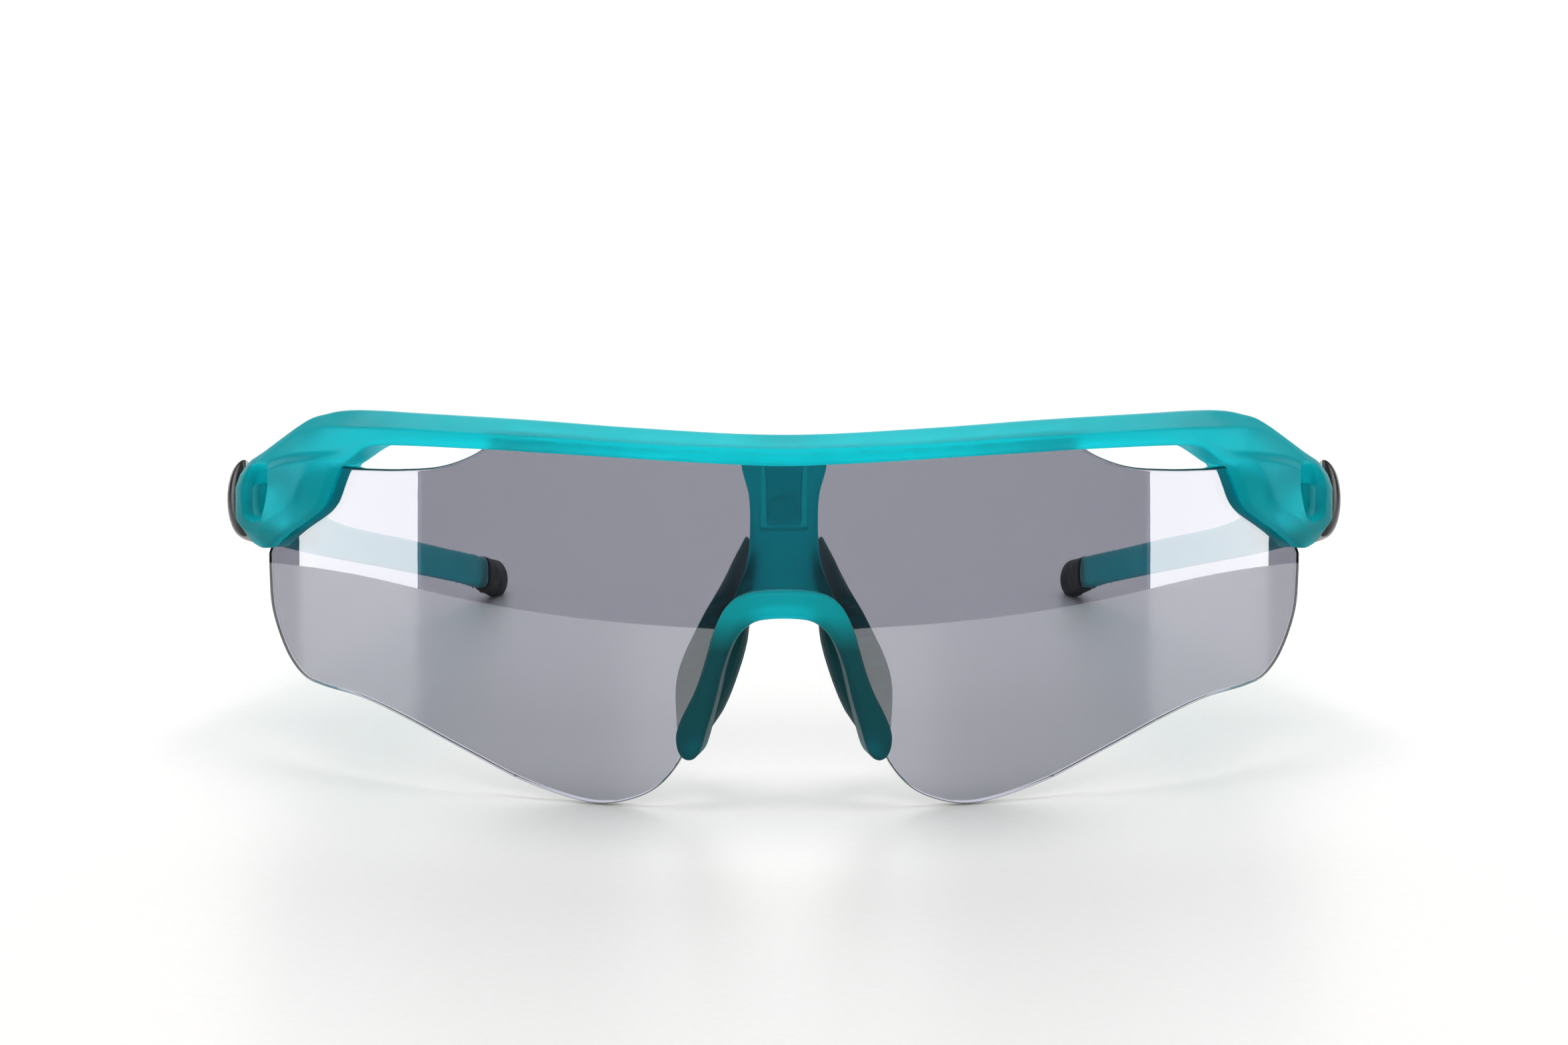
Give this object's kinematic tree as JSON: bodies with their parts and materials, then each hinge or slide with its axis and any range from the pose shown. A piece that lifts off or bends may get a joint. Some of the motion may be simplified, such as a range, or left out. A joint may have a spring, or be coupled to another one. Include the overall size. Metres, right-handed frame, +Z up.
{
  "type": "wraparound sport sunglasses",
  "caption": "Half-rim wraparound sunglasses: a curved one-piece shield lens under a faceted brow frame, a clip-on nose piece and folding arms with glossy hinge covers and rubber tips.",
  "frame": {"origin": "on the table, under the middle of the object's box, with the glasses lying on the lens's lower edge and the arms' tips", "axes": "+X to the wearer's left, +Y from the lens back along the arms, +Z up"},
  "size_m": [0.1474, 0.1568, 0.0466],
  "materials": {
    "frame_plastic": "satin frosted translucent teal nylon",
    "lens_smoke": "polished smoke-grey polycarbonate",
    "nose_plastic": "satin frosted translucent teal",
    "pad_rubber": "soft matte translucent teal",
    "arm_plastic": "satin frosted translucent teal nylon",
    "tip_rubber": "matte black",
    "cover_gloss": "glossy black",
    "screw_steel": "plain bright steel",
    "nut_brass": "plain"
  },
  "bodies": {
    "front": {"front_frame": "frame_plastic", "shield_lens": "lens_smoke", "nose_bridge": "nose_plastic", "nose_pad_left": "pad_rubber", "nose_pad_right": "pad_rubber", "hinge_screw_left": "screw_steel", "hinge_screw_right": "screw_steel", "hinge_nut_left": "nut_brass", "hinge_nut_right": "nut_brass"},
    "left_arm": {"temple_left": "arm_plastic", "temple_tip_left": "tip_rubber", "hinge_cover_left": "cover_gloss"},
    "right_arm": {"temple_right": "arm_plastic", "temple_tip_right": "tip_rubber", "hinge_cover_right": "cover_gloss"}
  },
  "joints": [
    {"name": "left_arm_fold", "type": "hinge", "parent": "front", "child": "left_arm", "pos_m": [0.066, -0.032, 0.03187], "axis": [0, 0.0698, 0.9976], "range_deg": [0, 90]},
    {"name": "right_arm_fold", "type": "hinge", "parent": "front", "child": "right_arm", "pos_m": [-0.066, -0.032, 0.03187], "axis": [0, -0.0698, -0.9976], "range_deg": [0, 84]}
  ]
}
